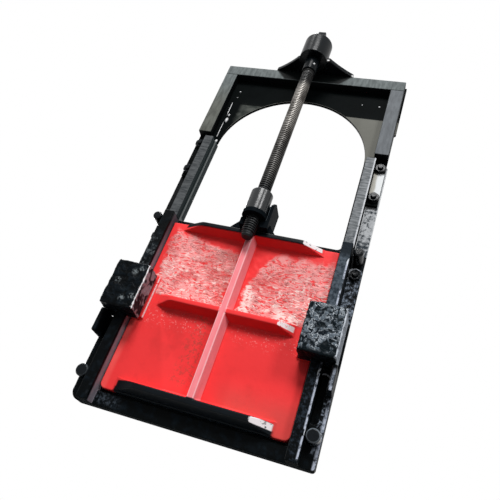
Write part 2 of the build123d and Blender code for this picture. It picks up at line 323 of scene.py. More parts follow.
def bright_right_rim(s, colour, front, blotch):
    """Mottled rim beside the pocket; glints round the pocket's top, the low stud and the flange bolt."""
    rim = s.all(front, s.band(s.x, casting_high.x - 16, casting_high.x + 2))
    rim = s.all(rim, s.past(s.z, block_low.z - 12, -4))
    rim = s.all(rim, s.past(s.z, RIM_WORN_FROM, 5))
    colour = s.mix(s.all(rim, s.step(blotch, 0.48, 0.62)), colour, (0.19, 0.22, 0.27))
    glints = s.any(
        s.crescent(*POCKET_TOP, radius=12.5, lean=(1.5, -3.5)),
        s.crescent(*LOW_STUD, radius=17, lean=(1.2, -1.8)),
        s.crescent(*FLANGE_BOLT, radius=17, lean=(4.5, -4.0)),
    )
    return s.mix(s.all(front, glints), colour, (0.64, 0.68, 0.74))


def left_guide_lit_face(s, colour, front, blotch):
    """Painted light on the left guide's inner face, which turns to the right: lilac-grey, darker upwards,
    black at its front; a grey lower corner.
    """
    inner = s.all(s.step(s.facing_x, 0.6, 0.9), s.band(s.x, -guide_inner - 3, 3 - guide_inner))
    inner = s.all(inner, s.past(s.y, casting_low.y + 9, 3))
    # Painted light: lilac-grey on the face turned to the right
    lilac = s.mix(s.noise(20, detail=4), (0.18, 0.16, 0.195), (0.33, 0.3, 0.345))
    lilac = s.mix(s.step(s.z, block_high.z + 28, casting_high.z - 8), lilac, (0.075, 0.07, 0.085))
    colour = s.mix(inner, colour, lilac)
    corner = s.all(front, s.band(s.x, -guide_inner, CORNER_RIGHT, 12), s.band(s.z, *CORNER_UP, 5))
    corner = s.all(corner, s.step(blotch, 0.44, 0.64))
    return s.mix(s.all(corner, 0.8), colour, (0.05, 0.062, 0.078))


def black_casting():
    """Black coating over a rough casting: deep black below, mottled grey with painted sheen on the upper
    flanges, and painted light, shade and glints at the guides and the rim.
    """
    s = Surface("black_casting", specular=0.03)
    grain = s.noise(3.2, detail=5, roughness=0.65)
    swirl = s.noise(16, detail=3)
    blotch = s.noise(7, detail=5, roughness=0.7)
    front = s.step(s.facing_y, -0.6, -0.95)
    colour = s.mix(s.step(swirl, 0.45, 0.75), BLACK, BLUE_BLACK)
    colour = flange_dust_and_sheen(s, colour, front, blotch)
    colour = right_guide_shade_and_highlights(s, colour, front, blotch)
    colour = bright_right_rim(s, colour, front, blotch)
    colour = left_guide_lit_face(s, colour, front, blotch)
    s.colour(s.dusted(colour, swirl))
    matt_underside = s.step(s.facing_z, -0.4, -0.8)
    s.roughness(s.any(s.scale(grain, 0.34, 0.55), matt_underside))
    s.bump(grain, 0.35, s.bump(swirl, 0.9))
    return s.material


# Rails, blocks and yoke

def left_rail_paint():
    """Dark grey bar front with faint cross hatching, teal-black inside, a lighter ledge."""
    s = Surface("left_rail_paint", specular=0.04)
    grain = s.noise(3.0, detail=5, roughness=0.65)
    hatch = s.noise(7, detail=3, along=(0.35, 1, 1.6))
    front = s.step(s.facing_y, -0.6, -0.95)
    bar = s.all(front, s.past(s.y, rail_low.y + 4, -2))
    ledge = s.all(front, s.past(s.x, -guide_inner - 0.5, 1.5))
    teal_black = (0.014, 0.023, 0.025)
    colour = s.mix(s.step(s.facing_x, 0.5, 0.9), BLACK, teal_black)
    grey = s.mix(s.step(hatch, 0.3, 0.7), (0.03, 0.034, 0.037), (0.088, 0.094, 0.098))
    colour = s.mix(bar, colour, grey)
    s.colour(s.dusted(s.mix(ledge, colour, (0.105, 0.115, 0.115)), hatch))
    s.roughness(s.scale(grain, 0.38, 0.6))
    s.bump(hatch, 0.3, s.bump(grain, 0.25))
    return s.material


def right_rail_paint():
    """Pale lilac-grey bar front with cross hatching and painted highlights on its outer side; a speckled
    flange beside it.
    """
    s = Surface("right_rail_paint", specular=0.05)
    grain = s.noise(3.0, detail=5, roughness=0.65)
    hatch = s.noise(8, detail=4, roughness=0.6, along=(0.3, 1, 1.7))
    blotch = s.noise(9, detail=5, roughness=0.7)
    front = s.step(s.facing_y, -0.6, -0.95)
    bar = s.all(front, s.past(s.y, rail_low.y + 4, -2))
    flange = s.all(front, s.past(s.x, guide_outer - 0.5, 1.5))
    flange = s.all(flange, s.past(s.y, arch_front - 1, 4))

    # Bar and flange, both darker at the foot
    pale = s.mix(s.step(hatch, 0.3, 0.7), (0.062, 0.07, 0.076), (0.24, 0.252, 0.265))
    bar_foot = s.all(s.past(s.z, rail_low.z + 44.5, -22.5), s.step(blotch, 0.4, 0.6))
    pale = s.mix(s.all(bar_foot, 0.75), pale, (0.03, 0.038, 0.048))
    speckled = s.mix(s.step(blotch, 0.38, 0.54), (0.03, 0.038, 0.046), (0.4, 0.415, 0.43))
    flange_foot = s.all(s.past(s.z, rail_low.z + 44.5, -17.5), s.step(blotch, 0.66, 0.44))
    speckled = s.mix(flange_foot, speckled, (0.02, 0.028, 0.036))
    colour = s.mix(bar, s.mix(flange, BLACK, speckled), pale)

    # Painted highlights: a bright band and edge on the outer side of the bar
    highlight_strip = s.all(bar, s.past(s.x, guide_outer - 3.25, 1.25), s.step(hatch, 0.3, 0.48))
    colour = s.dusted(s.mix(highlight_strip, colour, (0.52, 0.535, 0.57)), blotch)
    outer_edge = s.all(s.edge(), s.past(s.x, guide_outer - 4.5, 1.5))
    s.colour(s.mix(outer_edge, colour, (0.72, 0.74, 0.76)))
    s.roughness(s.scale(grain, 0.4, 0.62))
    s.bump(hatch, 0.5, s.bump(grain, 0.3))
    return s.material


LEFT_BLOCK_HIGHLIGHTS = ((-237, 251), (-211, 212), (-190, 220), (-193, 288), (-207, 279))
HIGHLIGHT_RADIUS = 10


def block_casting():
    """Coarse sand-cast wedge blocks: the left one nearly black, the right one with painted highlights along
    its knobs and painted shade between them.
    """
    s = Surface("block_casting", specular=0.03)
    grit = s.noise(17, detail=2.5, roughness=0.6, distortion=0.8)
    fine = s.noise(7.5, detail=2, roughness=0.6, distortion=0.6)
    right = s.right_half()
    front = s.step(s.facing_y, -0.3, -0.8)
    side = s.step(s.facing_x, 0.6, 0.9)
    colour = s.mix(s.step(grit, 0.4, 0.7), BLACK, BLUE_BLACK)

    # Right front: painted shade in its hollow spots and at its foot, grey faces, and painted highlights
    # round the knobs
    faces = s.mix(s.step(fine, 0.4, 0.72), (0.008, 0.013, 0.018), (0.12, 0.148, 0.178))
    rim_highlights = s.all(s.ridge(fine, 0.04), s.step(grit, 0.44, 0.56))
    faces = s.mix(rim_highlights, faces, (0.42, 0.46, 0.5))
    foot = s.past(s.z, block_low.z + 9, -5)
    hollow_shade = s.any(s.step(grit, 0.46, 0.4), s.step(fine, 0.38, 0.32), foot)
    faces = s.mix(hollow_shade, faces, (0.003, 0.006, 0.008))
    colour = s.mix(s.all(front, right), colour, faces)

    # Left front: painted highlights near its edges
    glint_flecks = s.any(*[s.near((x, block_low.y, z), HIGHLIGHT_RADIUS) for x, z in LEFT_BLOCK_HIGHLIGHTS])
    glint_flecks = s.all(front, glint_flecks, s.step(s.noise(5, detail=3, distortion=0.8), 0.46, 0.6))
    colour = s.mix(glint_flecks, colour, (0.15, 0.17, 0.18))

    # Painted light on faces turned to the right: lilac-grey with painted shade blotches on the left block,
    # blue-grey on the right one; painted highlights on the edges towards the front
    lilac = s.mix(s.step(s.noise(22, detail=2), 0.44, 0.54), (0.016, 0.013, 0.017), (0.26, 0.23, 0.26))
    blue_grey = (0.26, 0.3, 0.36)
    colour = s.dusted(s.mix(side, colour, s.mix(right, lilac, blue_grey)), grit)
    edge_highlight = s.mix(right, (0.78, 0.78, 0.8), (0.56, 0.6, 0.66))
    s.colour(s.mix(s.edge(), colour, edge_highlight))
    s.roughness(s.scale(fine, 0.24, 0.45))
    s.bump(fine, 1.4, s.bump(grit, 2.5))
    return s.material


def dusty_bar():
    """Black-painted flat bar, greyed by dust on its front; a painted shadow of the bracket's wings leaves
    the beam black below them.
    """
    s = Surface("dusty_bar", specular=0.05)
    grain = s.noise(2.2, detail=4, roughness=0.6)
    streak = s.noise(9, detail=4, roughness=0.6, along=(1, 1, 0.25))
    streaks = s.step(streak, 0.3, 0.7)
    front = s.step(s.facing_y, -0.55, -0.9)
    grey = s.mix(streaks, (0.068, 0.08, 0.081), (0.14, 0.16, 0.161))

    # The right post is lilac-grey, and the left one browner towards its foot
    lilac = s.mix(streaks, (0.095, 0.103, 0.112), (0.138, 0.15, 0.162))
    right_post = s.all(s.past(s.x, post_low.x - 2, 5), s.past(s.z, post_high.z - 0.5, -1.5))
    grey = s.mix(right_post, grey, lilac)
    brown = s.mix(streaks, (0.06, 0.063, 0.055), (0.112, 0.118, 0.104))
    left_foot = s.all(s.past(s.x, 2 - post_low.x, -5), s.step(s.z, post_high.z - 13, post_low.z + 93))
    grey = s.mix(left_foot, grey, brown)

    # Painted shadow of the wings: black below them, in a shape that narrows downwards
    wing_slope = 0.9
    half_shade = s.add(bracket_high.x - wing_slope * beam_high.z, s.z, wing_slope)
    reach = s.math("SUBTRACT", half_shade, s.size(s.x))
    shade = s.all(s.past(s.z, beam_low.z + 1.5, 1.5), s.step(reach, -4, 6))
    grey = s.mix(shade, grey, (0.002, 0.003, 0.003))
    s.colour(s.dusted(s.mix(front, BLACK, grey), streak))
    s.roughness(s.scale(grain, 0.45, 0.62))
    s.bump(grain, 0.12)
    return s.material


# Edges of the painted sunlight and shadows, and of the painted reflection, on the arch plate
BEAM_SHADOW_LINE = 904.5
POST_SHADOW_EDGE = -170
SHEEN_FROM, SHEEN_TO = 652, 722
SHEEN_LEFT = 210
PALE_LEFT = 246


def arch_paint():
    """Black plate, grey on the lower spandrels as painted sunlight below painted shadows of the beam and
    posts; a pale painted reflection on the right leg between its bolts.
    """
    s = Surface("arch_paint", specular=0.01)
    grain = s.noise(2.5, detail=4, roughness=0.6)
    cloud = s.noise(38, detail=4)
    front = s.step(s.facing_y, -0.5, -0.9)
    colour = s.mix(cloud, (0.0004, 0.0008, 0.0008), (0.0028, 0.0042, 0.0045))

    # Painted sunlight on the spandrels: below the beam's painted shadow, right of the left post's painted
    # shadow, out of the painted shadow under the right post's foot, and above the rails
    right_painted_sun = s.mix(cloud, (0.12, 0.12, 0.106), (0.165, 0.165, 0.148))
    left_painted_sun = s.mix(s.step(cloud, 0.35, 0.65), (0.018, 0.022, 0.02), (0.085, 0.09, 0.082))
    painted_sunlight = s.mix(s.step(s.x, 0, -20), right_painted_sun, left_painted_sun)
    ragged_left = s.past(s.add(s.x, cloud, 24), POST_SHADOW_EDGE, 8)
    above_rail = s.past(s.z, rail_high.z - 2, 4)
    clear_of_post = s.any(s.past(s.x, post_low.x - 11, -3), s.past(s.z, post_low.z + 5, 4))
    spandrel = s.all(s.past(s.z, BEAM_SHADOW_LINE, -1.5), above_rail, ragged_left, clear_of_post)
    colour = s.mix(s.all(front, spandrel), colour, painted_sunlight)

    # Painted reflection on the right leg between its bolts, palest at its outer side
    sheen_stretch = s.all(s.past(s.x, SHEEN_LEFT, 10), s.band(s.z, SHEEN_FROM, SHEEN_TO, 5))
    outer = s.past(s.add(s.x, cloud, 8), PALE_LEFT, 3)
    pale = s.mix(outer, (0.4, 0.39, 0.35), (0.74, 0.76, 0.77))
    colour = s.mix(s.all(front, sheen_stretch), colour, pale)

    # Light line along the arch's lower edge
    lip = s.all(s.step(s.facing_y, -0.2, -0.4), s.step(s.facing_z, -0.15, -0.35))
    lip = s.all(lip, s.past(s.z, rail_high.z + 20, 10))
    s.colour(s.dusted(s.mix(lip, colour, (0.3, 0.3, 0.28)), cloud))
    s.roughness(s.scale(grain, 0.42, 0.6))
    s.bump(grain, 0.1)
    return s.material


# Stem gear and bolts

HUB_WHITE_SPOT = (41, -86, 1038)
WING_WHITE_SPOT = (110, -36, 1040)
EAR_FROM = 23
LOW_STUDS_BELOW = 85
GREASE_RAGGED = 50
GREASE_FROM, GREASE_TO = 900, 660
COLLAR_SHADE_FROM, COLLAR_SHADE_TO = 930, 970
TAIL_DARK_FROM, TAIL_DARK_TO = 660, 580


def gloss_black(name, specular):
    """Smooth glossy black on turned and cast parts of the stem gear; two small white spots on the bracket.
    """
    s = Surface(name, specular)
    grain = s.noise(3.0, detail=4)
    flow = s.noise(22, detail=2)
    colour = s.mix(flow, BLACK, (0.004, 0.0062, 0.0084))
    # Two small white spots on the bracket
    white_spots = s.any(s.near(HUB_WHITE_SPOT, radius=6), s.near(WING_WHITE_SPOT, radius=7))
    s.colour(s.mix(white_spots, colour, (0.8, 0.8, 0.8)))
    s.roughness(s.scale(grain, 0.2, 0.28))
    s.bump(flow, 0.25, s.bump(grain, 0.01))
    return s.material


def lug_paint():
    """Matt black on the lug and the nut's flange, with a light line on the ear's front edge."""
    s = Surface("lug_paint", specular=0.008)
    grain = s.noise(3.0, detail=4)
    colour = s.mix(grain, BLACK, BLUE_BLACK)
    ear_edge = s.all(s.step(s.facing_y, -0.2, -0.5), s.band(s.facing_x, -0.85, -0.3, 0.1))
    ear_edge = s.all(ear_edge, s.past(s.x, EAR_FROM, 3))
    s.colour(s.mix(ear_edge, colour, (0.12, 0.14, 0.16)))
    s.roughness(s.scale(grain, 0.35, 0.5))
    s.bump(grain, 0.2)
    return s.material


def bolt_paint():
    """Glossy black on bolt heads and studs; the low studs have a light rim, brighter on the right."""
    s = Surface("bolt_paint", specular=0.1)
    grain = s.noise(4.0, detail=4)
    rim = s.all(s.step(s.facing_y, -0.2, -0.4), s.step(s.facing_y, -0.94, -0.8))
    rim = s.all(rim, s.past(s.z, LOW_STUDS_BELOW, -5))
    glint = s.mix(s.right_half(), (0.03, 0.036, 0.042), (0.12, 0.14, 0.16))
    s.colour(s.mix(rim, s.mix(grain, BLACK, BLUE_BLACK), glint))
    s.roughness(s.scale(grain, 0.14, 0.3))
    s.bump(grain, 0.5)
    return s.material


def stem_steel():
    """Turned steel, brown with old grease between the threads, with painted shade of the hub and collar
    below the collar, and dark below the nut.
    """
    s = Surface("stem_steel", specular=0.15)
    s.shade("Metallic", 0.35)
    grain = s.noise(2.0, detail=4, roughness=0.6)
    stain = s.noise(26, detail=4, along=(1, 1, 0.5))
    steel = s.mix(grain, (0.2, 0.188, 0.174), (0.38, 0.362, 0.338))
    colour = s.mix(s.step(stain, 0.45, 0.7), steel, (0.085, 0.076, 0.068))
    ragged = s.add(s.z, stain, GREASE_RAGGED)
    greasy = s.step(ragged, GREASE_FROM, GREASE_TO)
    colour = s.mix(s.all(greasy, 0.8), colour, (0.016, 0.017, 0.017))
    # Painted shade of the hub and collar below the collar
    collar_shade = s.step(ragged, COLLAR_SHADE_FROM, COLLAR_SHADE_TO)
    below_nut = s.step(ragged, TAIL_DARK_FROM, TAIL_DARK_TO)
    s.colour(s.mix(s.all(s.any(collar_shade, below_nut), 0.95), colour, (0.005, 0.006, 0.007)))
    s.roughness(s.scale(grain, 0.3, 0.48))
    s.bump(grain, 0.06)
    return s.material


def bare_weld():
    """Weld metal and drips with thin paint."""
    s = Surface("bare_weld", specular=0.5)
    grain = s.noise(2.5, detail=4, roughness=0.65)
    s.colour(s.mix(s.step(grain, 0.36, 0.58), (0.1, 0.105, 0.11), (0.66, 0.67, 0.68)))
    s.roughness(s.scale(grain, 0.25, 0.5))
    s.bump(grain, 0.3)
    return s.material


# Red paint of the leaf

PAINT_WANDER = 42
LEAF_MARGIN = 14
LEFT_CELL_END, RIGHT_CELL_START = -16, 20
TAPERS_FROM = 70

# Top edges of the painted glare in the upper cells, set by the painted shadows of the top rib and beside the
# centre rib, and of the white patches: height at the centre line, and slope
LEFT_TOP, LEFT_SLOPE = 400, -0.24
RIGHT_TOP, RIGHT_SLOPE = 286, 2.2
PATCH_TOP, PATCH_SLOPE = 341, -0.4
RIGHT_SLOPE_END = 67
RIGHT_LEVEL_TOP = 422

# Spans of the marked areas (painted shadow and glare, specks, dots and a darker low corner), across the leaf
# and up or down it
STEM_SHADOW_ACROSS, STEM_SHADOW_UP = (-70, -14), (290, 425)
RIB_PATCH, BLOCK_PATCH = (14, 46), (104, 150)
SPECKS_ACROSS, SPECKS_UP = (-62, -16), (84, 236)
LEFT_DOTS_ACROSS, LEFT_DOTS_UP = (-20, -50), (196, 226)
RIGHT_DOTS_ACROSS, RIGHT_DOTS_UP = (18, 40), (204, 230)
LOW_RIGHT_ACROSS, LOW_RIGHT_DOWN = (20, 70), (130, 66)
GLINTS_DOWN = (440, 320)


def glare_cells(s, x, z):
    """Where glare is painted in the two upper cells: all but their outer edges and the slanting bands of
    painted shadow below the top rib and beside the centre rib.
    """
    left_top = s.add(LEFT_TOP, s.x, LEFT_SLOPE)
    left_cell = s.all(s.past(x, LEAF_MARGIN - leaf_high.x, 5), s.past(x, LEFT_CELL_END, -4))
    left_cell = s.all(left_cell, s.step(s.math("SUBTRACT", left_top, z), -6, 10))
    right_top = s.add(RIGHT_TOP, s.x, RIGHT_SLOPE)
    past_slope = s.past(s.x, RIGHT_SLOPE_END, 5)
    below_slope = s.any(s.step(s.math("SUBTRACT", right_top, z), -8, 10), past_slope)
    right_cell = s.all(s.past(x, RIGHT_CELL_START, 4), s.past(z, RIGHT_LEVEL_TOP, -10), below_slope)
    above_rib = s.past(s.z, middle_rib_root, 4)
    return s.all(above_rib, s.any(left_cell, right_cell))


def glare_on_crumple(s, colour, upper, crumple, painted_glare, x, z):
    """Painted light on the crumpled paint: pink glare, white glints, painted shade in the creases, and a
    brown painted shadow of the stem's tail.
    """
    flaw = s.noise(14, detail=2.5, roughness=0.6, distortion=1.8, along=(0.6, 1, 1.6))
    crack_shade = s.all(upper, s.ridge(flaw, 0.035), s.step(s.noise(30, detail=2), 0.4, 0.55))
    glint_flecks = s.noise(12, detail=2.5, roughness=0.6, distortion=1.6, along=(0.6, 1, 1.5))
    white = s.all(upper, s.step(glint_flecks, 0.54, 0.64), s.step(z, *GLINTS_DOWN))
    colour = s.mix(s.all(painted_glare, 0.9), colour, (0.82, 0.42, 0.41))
    colour = s.mix(s.all(white, 0.85), colour, (0.92, 0.72, 0.67))
    colour = s.mix(s.all(crack_shade, 0.75), colour, (0.24, 0.07, 0.062))
    # Brown painted shadow of the stem's tail in the upper left cell, beside the centre rib
    stem_shadow = s.all(upper, s.band(x, *STEM_SHADOW_ACROSS, 18), s.band(z, *STEM_SHADOW_UP, 20), s.step(flaw, 0.4, 0.6))
    colour = s.mix(s.all(stem_shadow, 0.45), colour, (0.33, 0.11, 0.09))

    # Painted glare as whiter patches low in the right cell, beside the centre rib and near the block
    patch = s.any(s.band(x, *RIB_PATCH, 8), s.band(x, *BLOCK_PATCH, 10))
    below_top = s.past(s.add(z, x, -PATCH_SLOPE), PATCH_TOP, -11)
    patch = s.all(patch, s.past(s.x, centre_rib_root - 0.5, 3), below_top)
    patch = s.all(upper, patch, s.step(crumple, 0.4, 0.52))
    return s.mix(patch, colour, (0.9, 0.72, 0.68))


def scuffed(s, colour, plate, cloud, x, z):
    """Darker smears on the plate, and brown specks, a darker low right corner, pale dots and a painted
    highlight along the left edge in its smooth lower cells.
    """
    specks = s.step(s.noise(7, detail=3, roughness=0.7), 0.48, 0.62)
    brown = s.all(plate, specks, s.band(x, *SPECKS_ACROSS, 10), s.band(z, *SPECKS_UP, 14))
    colour = s.mix(s.all(brown, 0.6), colour, (0.36, 0.06, 0.045))
    smear = s.all(plate, s.step(s.noise(60, detail=3), 0.5, 0.75))
    colour = s.mix(s.all(smear, 0.55), colour, (0.62, 0.036, 0.036))
    # Darker towards the bottom right corner
    low_right_dark = s.all(plate, s.step(s.x, *LOW_RIGHT_ACROSS), s.step(s.z, *LOW_RIGHT_DOWN), s.scale(cloud, 0.5, 1.1))
    colour = s.mix(s.all(low_right_dark, 0.95), colour, (0.56, 0.066, 0.058))

    # Pale dots under the middle rib, and a painted highlight along the leaf's left edge below the block
    dotted_right = s.all(s.band(z, *RIGHT_DOTS_UP, 14), s.step(s.x, *RIGHT_DOTS_ACROSS))
    dotted_left = s.all(s.band(z, *LEFT_DOTS_UP, 14), s.step(s.x, *LEFT_DOTS_ACROSS))
    dots = s.all(plate, s.any(dotted_right, dotted_left), s.step(s.noise(3.5, detail=1), 0.62, 0.7))
    colour = s.mix(s.all(dots, 0.4), colour, (0.88, 0.42, 0.4))
    margin_highlight = s.all(plate, s.past(s.x, LEAF_MARGIN - leaf_high.x, -5))
    margin_highlight = s.all(margin_highlight, s.past(s.z, block_low.z + 10.5, -12.5))
    return s.mix(s.all(margin_highlight, s.scale(cloud, 0.2, 0.7)), colour, (0.9, 0.13, 0.12))


def centre_rib_highlights(s, colour, proud):
    """Painted highlight on the centre rib: pale pink on its front and right side, paler still on its slanted
    edges.
    """
    left_edge = s.past(s.x, -CENTRE_RIB_HALF - 1.1, 0.5)
    right_root = s.past(s.x, centre_rib_root + 0.75, -0.75)
    rib = s.all(proud, left_edge, right_root, s.step(s.facing_z, -0.8, -0.3))
    rib_front = s.past(s.x, CENTRE_RIB_HALF + 1, -1)
    rib = s.all(rib, s.any(rib_front, s.step(s.facing_x, 0.3, 0.6)))
    streaks = s.noise(8, detail=4, along=(1, 1, 0.2))
    colour = s.mix(rib, colour, s.mix(streaks, (0.8, 0.165, 0.19), (0.9, 0.3, 0.33)))
    slanted = s.all(s.band(s.size(s.facing_x), 0.25, 0.8, 0.1), s.step(s.facing_y, -0.5, -0.7))
    by_centre = s.past(s.size(s.x), centre_rib_root - 1.5, -2)
    slant_highlight = s.all(proud, slanted, by_centre)
    return s.mix(s.all(slant_highlight, 0.8), colour, (0.92, 0.5, 0.52))


def black_ends(s, colour, proud, cloud):
    """Black on the end ribs and below the bottom one, with a painted highlight as a grey line along the top
    edge.
    """
    off_centre = s.size(s.x)
    top_end = s.all(proud, s.past(s.z, top_rib_base - 0.5, 1))
    low_rib = s.past(s.z, bottom_rib_base + 13.5, -1.5)
    low_rib = s.all(proud, low_rib, s.past(off_centre, pad_inner - 3, -3))
    foot = s.past(s.z, bottom_rib_base + 1, -2)
    foot = s.all(foot, s.past(off_centre, pad_inner - 5, -3))
    colour = s.mix(s.any(top_end, low_rib, foot), colour, s.mix(cloud, BLACK, BLUE_BLACK))
    top_edge_highlight = s.all(top_end, s.step(s.facing_z, 0.2, 0.5), s.step(s.facing_y, -0.2, -0.5))
    return s.mix(top_edge_highlight, colour, (0.22, 0.22, 0.22))


def taper_highlights(s, colour, proud):
    """Painted highlights: white on the right tapers of the cross ribs and on the inner edge of the left pad.
    """
    rib_fronts = s.any(
        s.band(s.z, bottom_rib_base, bottom_rib_base + 13, 1),
        s.band(s.z, middle_rib_base + 0.5, middle_rib_base + 12.5, 1),
        s.past(s.z, top_rib_base, 1),
    )
    taper = s.all(s.step(s.facing_x, 0.25, 0.36), s.step(s.facing_y, -0.6, -0.8))
    taper = s.all(taper, proud, rib_fronts, s.past(s.x, TAPERS_FROM, 10))
    pad_edge = s.all(s.step(s.facing_x, 0.3, 0.5), proud, s.past(s.x, 11.5 - pad_inner, -2.5))
    white_highlights = s.all(s.any(taper, pad_edge), s.step(s.noise(9, detail=5, roughness=0.7), 0.36, 0.44))
    return s.mix(s.all(white_highlights, 0.95), colour, (0.86, 0.8, 0.81))


def red_paint():
    """Thick glossy red: crumpled in the upper cells with painted glare and shade there, smooth below, black
    on the end ribs, with painted highlights on rib edges.
    """
    s = Surface("red_paint", specular=0.06)
    wander = s.math("SUBTRACT", s.noise(22, detail=4), 0.5)
    x = s.add(s.x, wander, PAINT_WANDER)
    z = s.add(s.z, wander, PAINT_WANDER)
    plate = s.all(s.step(s.facing_y, -0.6, -0.9), s.past(s.y, leaf_front - 3, 1.2))
    proud = s.past(s.y, leaf_front - 3, -1.2)
    cloud = s.noise(48, detail=2)
    # Painted glare on the crumpled paint of the upper cells, edged by painted shadows of the ribs
    upper = s.all(plate, glare_cells(s, x, z))
    crumple = s.noise(13, detail=2.5, roughness=0.6, distortion=1.9, along=(0.62, 1, 1.5))
    painted_glare = s.all(upper, s.step(crumple, 0.36, 0.52), s.scale(cloud, 0.55, 1.1))
    colour = s.mix(s.noise(90, detail=2), (0.8, 0.038, 0.04), (0.85, 0.048, 0.05))
    colour = glare_on_crumple(s, colour, upper, crumple, painted_glare, x, z)
    colour = scuffed(s, colour, plate, cloud, x, z)
    colour = centre_rib_highlights(s, colour, proud)
    colour = black_ends(s, colour, proud, cloud)
    s.colour(taper_highlights(s, colour, proud))
    s.roughness(s.scale(painted_glare, 0.36, 0.6))
    s.bump(s.all(crumple, upper), 2.0, s.bump(s.noise(14, detail=3), 0.4))
    return s.material


MATERIALS = {
    "casting": black_casting(),
    "left_rail": left_rail_paint(),
    "right_rail": right_rail_paint(),
    "block": block_casting(),
    "bar": dusty_bar(),
    "arch": arch_paint(),
    "gloss": gloss_black("gloss_black", specular=0.1),
    "nut": gloss_black("nut_black", specular=0.42),
    "collar": gloss_black("collar_black", specular=0.05),
    "lug": lug_paint(),
    "bolt": bolt_paint(),
    "stem": stem_steel(),
    "weld": bare_weld(),
    "red": red_paint(),
}


# Mesh helpers

def clean_copy(node):
    """The node's faces as whole polygons, with shared corners."""
    bm = bmesh.new()
    bm.from_mesh(nodes[node].data)
    bmesh.ops.remove_doubles(bm, verts=bm.verts[:], dist=WELD)
    bmesh.ops.dissolve_limit(bm, angle_limit=FLAT_ANGLE, verts=bm.verts[:], edges=bm.edges[:])
    return bm


def bevel(bm, edges, width, segments):
    bmesh.ops.bevel(
        bm, geom=edges, offset=width * MM, offset_type="OFFSET", segments=segments,
        profile=0.5, affect="EDGES", clamp_overlap=False,
    )


def round_edges(bm, width, segments):
    sharp = [e for e in bm.edges if e.is_manifold and e.calc_face_angle() > SHARP_ANGLE]
    bevel(bm, sharp, width, segments)
    bmesh.ops.remove_doubles(bm, verts=bm.verts[:], dist=WELD)


def slice_up(bm, step):
    """Cuts the faces on a square grid so that relief has points to move."""
    for axis in range(3):
        places = [v.co[axis] for v in bm.verts]
        count = int((max(places) - min(places)) / (step * MM))
        normal = Vector([float(i == axis) for i in range(3)])
        for i in range(1, count + 1):
            at = normal * (min(places) + i * step * MM)
            everything = bm.verts[:] + bm.edges[:] + bm.faces[:]
            bmesh.ops.bisect_plane(bm, geom=everything, dist=CUT_TOLERANCE, plane_co=at, plane_no=normal)


def raise_relief(bm, relief):
    """Moves each point along its normal by relief(place, normal), all in millimetres."""
    bm.normal_update()
    moved = [(v, v.co + v.normal * relief(v.co / MM, v.normal) * MM) for v in bm.verts]
    for vertex, place in moved:
        vertex.co = place


def to_object(bm, name, material, body):
    """A smooth-shaded piece made of the mesh, riding on a body."""
    bmesh.ops.recalc_face_normals(bm, faces=bm.faces[:])
    mesh = bpy.data.meshes.new(name)
    bm.to_mesh(mesh)
    bm.free()
    mesh.polygons.foreach_set("use_smooth", [True] * len(mesh.polygons))
    mesh.set_sharp_from_angle(angle=SMOOTH_ANGLE)
    mesh.materials.append(MATERIALS[material])
    obj = bpy.data.objects.new(name, mesh)
    bpy.context.scene.collection.objects.link(obj)
    weighted = obj.modifiers.new("weighted_normals", "WEIGHTED_NORMAL")
    weighted.keep_sharp = True
    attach(obj, body)
    return obj


def skin(node, material, edge, segments=2, grid=None, relief=None):
    """A finished piece in place of a CAD node: rounded edges, and relief where it is cast."""
    bm = clean_copy(node)
    round_edges(bm, edge, segments)
    if grid:
        slice_up(bm, grid)
    if relief:
        raise_relief(bm, relief)
    obj = to_object(bm, f"{node}_skin", material, body_of_node[node])
    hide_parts(node)


# Relief of the cast pieces, in millimetres

LUMP_FALLOFF = 1.0
LUMP_RATIO = 2.0
LUMP_OCTAVES = 4
BACK_MARGIN = 6
FRAME_INNER = 207.5
RAIL_BACK_MARGIN = 5
RAIL_INNER = 208
SADDLE_DEPTH = 58
BLOCK_INSET = 0.6
GRIT_SHIFT = Vector((40, 10, 5))
FRONT_FACING = 0.7
LEAF_BACK_MARGIN = 30
CRUMPLE_SIZE = 9
CRUMPLE_HEIGHT = 1.1
CRUMPLE_SINK = 0.4


def lumps(place, size, height):
    """Rounded casting lumps of about that size and height."""
    return height * noise.fractal(place / size, LUMP_FALLOFF, LUMP_RATIO, LUMP_OCTAVES)


def frame_relief(place, normal):
    """Lumps outside the guides; the back and what the leaf slides past stay true."""
    if place.y > -BACK_MARGIN or abs(place.x) < FRAME_INNER:
        return 0.0
    return lumps(place, size=14, height=0.45)


def rail_relief(place, normal):
    if place.y > -RAIL_BACK_MARGIN or abs(place.x) < RAIL_INNER:
        return 0.0
    return lumps(place, size=12, height=0.3)


def block_relief(place, normal):
    """Knobs and grit, but not where the block sits on its guide."""
    if place.y > -SADDLE_DEPTH:
        return 0.0
    coarse = lumps(place, size=15, height=1.5)
    grit = lumps(place + GRIT_SHIFT, size=5, height=0.7)
    return coarse + grit - BLOCK_INSET


def bar_relief(place, normal):
    return lumps(place, size=45, height=0.25)


def cheek_relief(place, normal):
    return lumps(place, size=10, height=0.4)


def smooth_step(value, low, high):
    share = min(1.0, max(0.0, (value - low) / (high - low)))
    return share * share * (3 - 2 * share)


def leaf_relief(place, normal):
    """Crumpled paint in the two upper cells and a faint wave elsewhere on the front."""
    front = -normal.y > FRONT_FACING and place.y < -LEAF_BACK_MARGIN
    if not front:
        return 0.0
    on_plate = smooth_step(place.y, leaf_front - 4.2, leaf_front - 1.2)
    above_middle = smooth_step(place.z, middle_rib_root, middle_rib_root + 14)
    below_top = smooth_step(place.z, top_rib_base - 19, top_rib_base - 41)
    off_pad = smooth_step(place.x, -pad_inner - 12, 4 - pad_inner)
    crumple = noise.turbulence(place / CRUMPLE_SIZE, LUMP_OCTAVES, False)
    folds = CRUMPLE_HEIGHT * crumple - CRUMPLE_SINK
    return on_plate * above_middle * below_top * off_pad * folds + lumps(place, size=60, height=0.2)


# Frame castings and yoke

